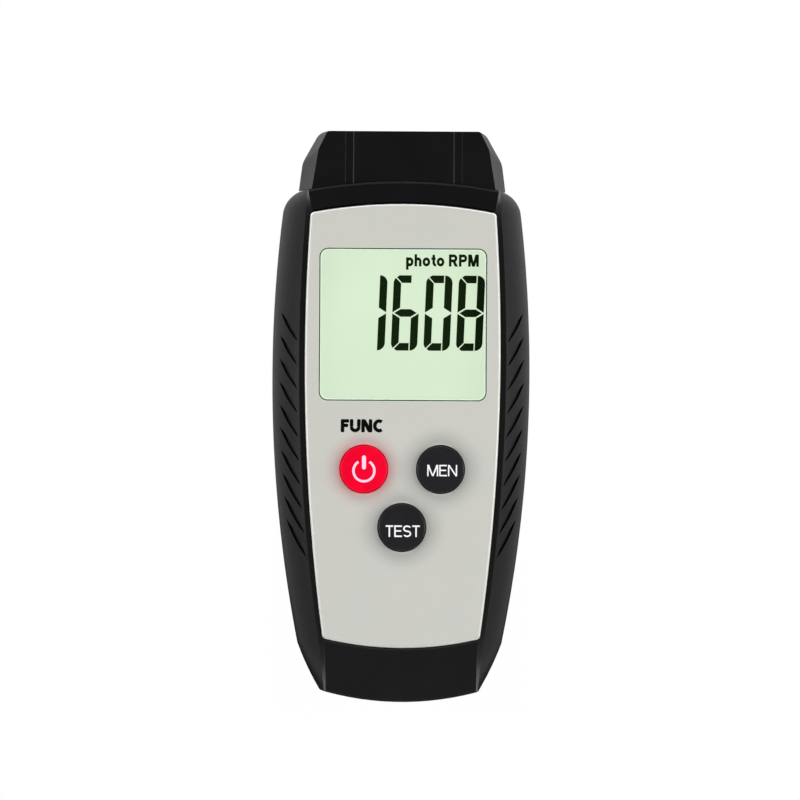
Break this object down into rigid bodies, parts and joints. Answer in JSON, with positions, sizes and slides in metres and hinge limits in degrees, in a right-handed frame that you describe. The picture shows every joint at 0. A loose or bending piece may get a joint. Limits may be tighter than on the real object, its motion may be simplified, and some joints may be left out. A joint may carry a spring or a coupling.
{
  "type": "digital tachometer",
  "caption": "Handheld photo tachometer: barrel-shaped ribbed black housing, silver face with display and push buttons, optical head at the top, battery bay with a sliding door.",
  "frame": {"origin": "under the middle of the flat back, on the surface that the instrument lies on", "axes": "+Z out of the face, +Y along the body towards the optical head, +X to the right of the face"},
  "size_m": [0.0668, 0.1482, 0.0344],
  "materials": {
    "housing": "fine matt black, moulded",
    "head_housing": "satin black, moulded",
    "panel_silver": "satin silver-grey lacquer",
    "button_red": "satin translucent red",
    "button_black": "satin black",
    "display_window": "clear, gloss",
    "display_glass": "pale green, gloss",
    "light_plate": "milky white",
    "display_frame": "matt black",
    "contact_rubber": "soft, matt",
    "head_window": "dark red, gloss",
    "holder_black": "matt black",
    "lens_clear": "clear, polished",
    "laser_brass": "turned",
    "clear_resin": "clear, gloss",
    "circuit_board": "green solder resist",
    "chip_resin": "matt black resin",
    "can_metal": "drawn, bright",
    "led_resin": "milky",
    "connector_resin": "ivory",
    "switch_black": "matt black",
    "plunger_white": "matt white",
    "screw_steel": "zinc plated",
    "battery_case": "plain dark grey sleeve",
    "snap_vinyl": "soft black",
    "foam": "open foam",
    "lead_red": "red insulation",
    "lead_black": "black insulation"
  },
  "bodies": {
    "housing": {"front_shell": "housing", "rear_shell": "housing", "optics_head": "head_housing", "head_window": "head_window", "lens_holder": "holder_black", "receiving_lens": "lens_clear", "laser_module": "laser_brass", "photo_sensor": "clear_resin", "sensor_board": "circuit_board", "sensor_screws": "screw_steel", "sensor_header": "connector_resin", "face_panel": "panel_silver", "lcd_window": "display_window", "lcd_frame": "display_frame", "lcd_glass": "display_glass", "lcd_backlight": "light_plate", "lcd_connector": "contact_rubber", "main_board": "circuit_board", "microcontroller": "chip_resin", "crystal": "can_metal", "capacitor": "can_metal", "power_led": "led_resin", "battery": "battery_case", "battery_snap": "snap_vinyl", "battery_pad": "foam", "battery_lead_red": "lead_red", "battery_lead_black": "lead_black", "housing_screws": "screw_steel", "board_screws": "screw_steel", "power_switch": "switch_black", "menu_switch": "switch_black", "test_switch": "switch_black"},
    "power_button": {"power_button": "button_red", "power_plunger": "plunger_white"},
    "menu_button": {"menu_button": "button_black", "menu_plunger": "plunger_white"},
    "test_button": {"test_button": "button_black", "test_plunger": "plunger_white"},
    "battery_door": {"battery_door": "housing"}
  },
  "joints": [
    {"name": "power_button_push", "type": "slide", "parent": "housing", "child": "power_button", "axis": [0, 0, -1], "range_m": [0, 0.0005], "stiffness_N_per_m": 2000, "springref_m": -0.0003},
    {"name": "menu_button_push", "type": "slide", "parent": "housing", "child": "menu_button", "axis": [0, 0, -1], "range_m": [0, 0.0005], "stiffness_N_per_m": 2000, "springref_m": -0.0003},
    {"name": "test_button_push", "type": "slide", "parent": "housing", "child": "test_button", "axis": [0, 0, -1], "range_m": [0, 0.0005], "stiffness_N_per_m": 2000, "springref_m": -0.0003},
    {"name": "battery_door_slide", "type": "slide", "parent": "housing", "child": "battery_door", "axis": [0, -1, 0], "range_m": [0, 0.058]}
  ]
}
